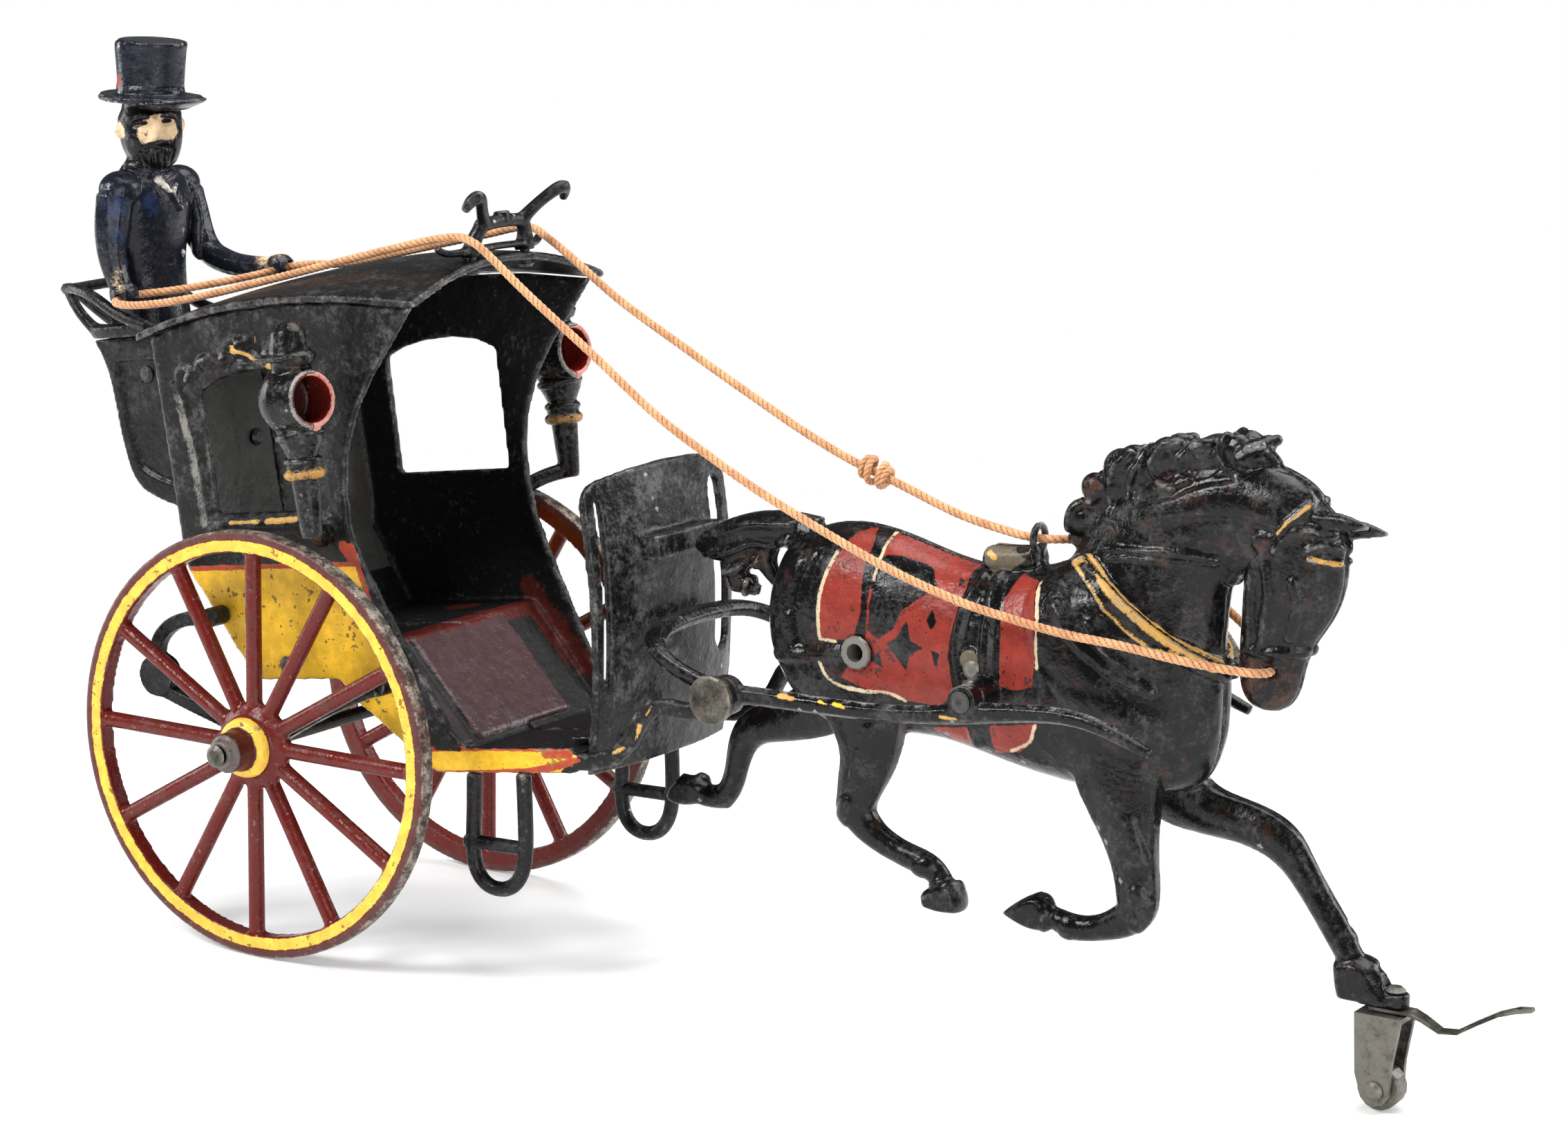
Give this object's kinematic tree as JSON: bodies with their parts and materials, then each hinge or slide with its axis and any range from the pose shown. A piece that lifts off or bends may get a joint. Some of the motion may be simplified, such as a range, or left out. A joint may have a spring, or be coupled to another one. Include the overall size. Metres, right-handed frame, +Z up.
{
  "type": "toy horse carriage",
  "caption": "Antique cast iron toy hansom cab: two-wheeled cab with a driver on a rear perch, a galloping horse in shafts, string reins and a small front wheel with a pull tongue.",
  "frame": {"origin": "on the ground, in the middle of the toy's outline", "axes": "+X forward towards the horse's head, +Y to the toy's left, +Z up"},
  "size_m": [0.3582, 0.111, 0.1896],
  "materials": {
    "black_enamel": "worn black enamel on cast iron, satin, with bare metal and old gold on the high spots",
    "maroon_enamel": "worn maroon enamel with a yellow rim band",
    "aged_steel": "aged grey steel",
    "cotton_string": "twisted tan cotton string"
  },
  "bodies": {
    "cab": {"body_near": "black_enamel", "body_far": "black_enamel", "roof": "black_enamel", "rein_guide": "black_enamel", "dash": "black_enamel", "step_near": "black_enamel", "step_far": "black_enamel", "lamp_near": "black_enamel", "lamp_far": "black_enamel", "spring_near": "black_enamel", "spring_far": "black_enamel", "pivot_pin_near": "aged_steel", "pivot_pin_far": "aged_steel", "guide_rivet_near": "aged_steel", "guide_rivet_far": "aged_steel", "dash_rivet_near": "aged_steel", "dash_rivet_far": "aged_steel", "perch_rivet_near": "aged_steel", "perch_rivet_far": "aged_steel", "axle": "aged_steel", "tie_rod": "aged_steel", "perch": "black_enamel", "seat_rail": "black_enamel", "driver": "black_enamel", "driver_pin": "aged_steel", "reins": "cotton_string", "rein_knot": "cotton_string"},
    "wheel_near": {"wheel_near": "maroon_enamel"},
    "wheel_far": {"wheel_far": "maroon_enamel"},
    "horse": {"horse_near": "black_enamel", "horse_far": "black_enamel", "shaft_frame": "black_enamel", "tug_rivet_near": "aged_steel", "tug_rivet_far": "aged_steel", "horse_rivet": "aged_steel", "flank_eyelet": "aged_steel", "hoof_rivet": "aged_steel"},
    "clevis": {"clevis": "aged_steel", "pull_tongue": "aged_steel", "wheel_rivet": "aged_steel"},
    "front_wheel": {"front_wheel": "aged_steel"}
  },
  "joints": [
    {"name": "wheel_near_spin", "type": "hinge", "parent": "cab", "child": "wheel_near", "pos_m": [-0.09059, -0.0416, 0.046], "axis": [0, 1, 0], "continuous": true},
    {"name": "wheel_far_spin", "type": "hinge", "parent": "cab", "child": "wheel_far", "pos_m": [-0.09059, 0.0416, 0.046], "axis": [0, 1, 0], "continuous": true},
    {"name": "horse_droop", "type": "hinge", "parent": "cab", "child": "horse", "pos_m": [0.01639, 0, 0.068], "axis": [0, 1, 0], "range_deg": [0, 5], "deforming": ["reins"]},
    {"name": "clevis_swivel", "type": "hinge", "parent": "horse", "child": "clevis", "pos_m": [0.15139, 0.0035, 0.0206], "axis": [0, 0, 1], "range_deg": [-30, 30]},
    {"name": "front_wheel_spin", "type": "hinge", "parent": "clevis", "child": "front_wheel", "pos_m": [0.14959, 0.0035, 0.0043], "axis": [0, 1, 0], "continuous": true}
  ]
}
